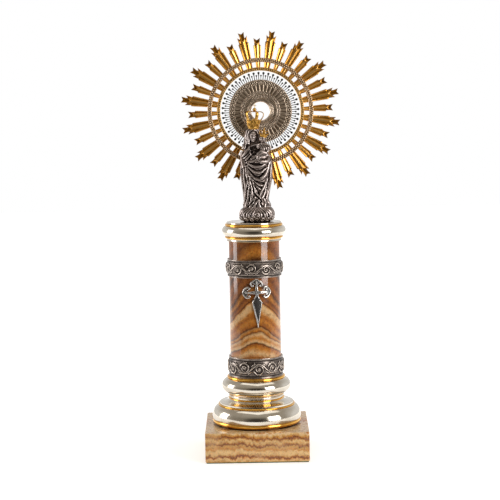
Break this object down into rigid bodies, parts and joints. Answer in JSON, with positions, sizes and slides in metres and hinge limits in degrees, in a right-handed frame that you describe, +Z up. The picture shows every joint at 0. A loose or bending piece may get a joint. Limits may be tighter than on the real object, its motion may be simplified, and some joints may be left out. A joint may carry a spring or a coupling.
{
  "type": "devotional statue on pillar",
  "caption": "Crowned mother and child on a banded onyx column and square plinth, before a lift-off gilt sunburst with a pierced lace disc.",
  "frame": {"origin": "middle of the felt face that the plinth stands on", "axes": "+Z up the column, -Y to the front, +X to the right of a viewer in front"},
  "size_m": [0.1554, 0.1, 0.412],
  "materials": {
    "felt": "napped felt",
    "onyx": "polished banded onyx",
    "steel": "bright zinc",
    "silver_plate": "silver-plated, mirror polish",
    "gilt": "gilt, polished",
    "pale_gilt": "worn pale gilt",
    "oxidised_silver": "silvered and oxidised, rubbed highlights",
    "silver_lace": "pierced, dull silver"
  },
  "bodies": {
    "column": {"base_felt": "felt", "plinth": "onyx", "tie_rod": "steel", "base_washer": "steel", "base_nut": "steel", "base_rim": "gilt", "lower_torus": "silver_plate", "scotia": "silver_plate", "upper_torus": "silver_plate", "seat_ring": "gilt", "shaft": "onyx", "lower_band": "oxidised_silver", "upper_band": "oxidised_silver", "sword_cross": "oxidised_silver", "capital_lower_ring": "gilt", "capital_torus": "silver_plate", "capital_upper_ring": "gilt", "capital_disc": "silver_plate", "cloud_base": "oxidised_silver", "mother_figure": "oxidised_silver", "child_figure": "oxidised_silver", "stem_socket": "oxidised_silver"},
    "sunburst": {"sun_stem": "gilt", "inner_ring": "gilt", "outer_ring": "pale_gilt", "lace_disc": "silver_lace", "short_ray_01": "gilt", "long_ray_01": "gilt", "short_ray_02": "gilt", "long_ray_02": "gilt", "short_ray_03": "gilt", "long_ray_03": "gilt", "short_ray_04": "gilt", "long_ray_04": "gilt", "short_ray_05": "gilt", "long_ray_05": "gilt", "short_ray_06": "gilt", "long_ray_06": "gilt", "short_ray_07": "gilt", "long_ray_07": "gilt", "short_ray_08": "gilt", "long_ray_08": "gilt", "short_ray_09": "gilt", "long_ray_09": "gilt", "short_ray_10": "gilt", "long_ray_10": "gilt", "short_ray_11": "gilt", "long_ray_11": "gilt", "short_ray_12": "gilt", "long_ray_12": "gilt", "short_ray_13": "gilt", "long_ray_13": "gilt", "short_ray_14": "gilt", "long_ray_14": "gilt", "short_ray_15": "gilt", "long_ray_15": "gilt", "short_ray_16": "gilt", "long_ray_16": "gilt"},
    "mother_crown": {"mother_crown": "gilt"},
    "child_crown": {"child_crown": "gilt"}
  },
  "joints": [
    {"name": "sun_lift", "type": "slide", "parent": "column", "child": "sunburst", "axis": [0, 0, 1], "range_m": [0, 0.03]},
    {"name": "mother_crown_lift", "type": "slide", "parent": "column", "child": "mother_crown", "axis": [0.0872, 0, 0.9962], "range_m": [0, 0.02]},
    {"name": "child_crown_lift", "type": "slide", "parent": "column", "child": "child_crown", "axis": [0.1736, -0.171, 0.9698], "range_m": [0, 0.015]}
  ]
}
